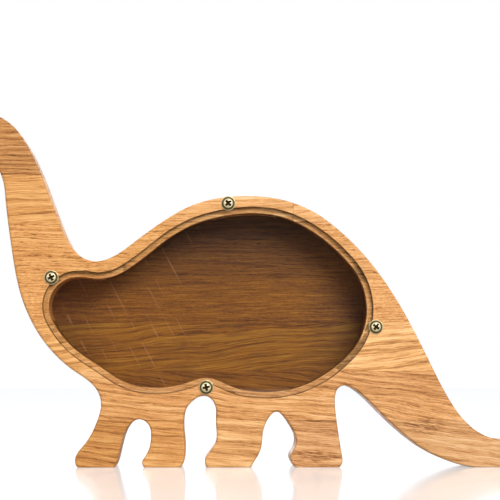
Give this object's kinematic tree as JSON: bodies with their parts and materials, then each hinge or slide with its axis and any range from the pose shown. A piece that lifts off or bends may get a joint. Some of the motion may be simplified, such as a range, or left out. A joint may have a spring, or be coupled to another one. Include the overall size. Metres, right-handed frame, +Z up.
{
  "type": "wooden money box",
  "caption": "Long-necked dinosaur cut from a glued-up oak board, with a coin slot in its back and a clear window screwed over its belly.",
  "frame": {"origin": "on the table, under the middle of the overall box", "axes": "+Z up; +X from the head towards the tail, along the animal; +Y through the board from the window side to the plain back, so the window faces -Y"},
  "size_m": [0.3314, 0.0408, 0.182],
  "materials": {
    "oak": "oiled satin",
    "acrylic": "clear, polished",
    "screw_metal": "antique-brass plating",
    "washer_metal": "antique-brass plating"
  },
  "bodies": {
    "case": {"foot_1": "oak", "foot_2": "oak", "foot_3": "oak", "foot_4": "oak", "tail_end": "oak", "legs": "oak", "belly_low": "oak", "belly_high": "oak", "shoulder": "oak", "neck": "oak", "back_front": "oak", "back_rear": "oak", "head": "oak", "crown": "oak"},
    "window": {"window": "acrylic"},
    "washer_left": {"washer_left": "washer_metal"},
    "screw_left": {"screw_left": "screw_metal"},
    "washer_top": {"washer_top": "washer_metal"},
    "screw_top": {"screw_top": "screw_metal"},
    "washer_right": {"washer_right": "washer_metal"},
    "screw_right": {"screw_right": "screw_metal"},
    "washer_bottom": {"washer_bottom": "washer_metal"},
    "screw_bottom": {"screw_bottom": "screw_metal"}
  },
  "joints": [
    {"name": "window_lift", "type": "slide", "parent": "case", "child": "window", "axis": [0, -1, 0], "range_m": [0, 0.02]},
    {"name": "screw_left_travel", "type": "slide", "parent": "window", "child": "washer_left", "axis": [0, -1, 0], "range_m": [0, 0.012]},
    {"name": "screw_left_turn", "type": "hinge", "parent": "washer_left", "child": "screw_left", "pos_m": [-0.1014, -0.0176, 0.0967], "axis": [0, -1, 0], "range_deg": [0, 3205]},
    {"name": "screw_top_travel", "type": "slide", "parent": "window", "child": "washer_top", "axis": [0, -1, 0], "range_m": [0, 0.012]},
    {"name": "screw_top_turn", "type": "hinge", "parent": "washer_top", "child": "screw_top", "pos_m": [-0.0112, -0.0176, 0.1346], "axis": [0, -1, 0], "range_deg": [0, 3205]},
    {"name": "screw_right_travel", "type": "slide", "parent": "window", "child": "washer_right", "axis": [0, -1, 0], "range_m": [0, 0.012]},
    {"name": "screw_right_turn", "type": "hinge", "parent": "washer_right", "child": "screw_right", "pos_m": [0.0642, -0.0176, 0.0715], "axis": [0, -1, 0], "range_deg": [0, 3205]},
    {"name": "screw_bottom_travel", "type": "slide", "parent": "window", "child": "washer_bottom", "axis": [0, -1, 0], "range_m": [0, 0.012]},
    {"name": "screw_bottom_turn", "type": "hinge", "parent": "washer_bottom", "child": "screw_bottom", "pos_m": [-0.0224, -0.0176, 0.0407], "axis": [0, -1, 0], "range_deg": [0, 3205]}
  ],
  "couplings": [
    {"joint": "screw_left_turn", "follows": "screw_left_travel", "rad_per_m": 4654.2},
    {"joint": "screw_top_turn", "follows": "screw_top_travel", "rad_per_m": 4654.2},
    {"joint": "screw_right_turn", "follows": "screw_right_travel", "rad_per_m": 4654.2},
    {"joint": "screw_bottom_turn", "follows": "screw_bottom_travel", "rad_per_m": 4654.2}
  ]
}
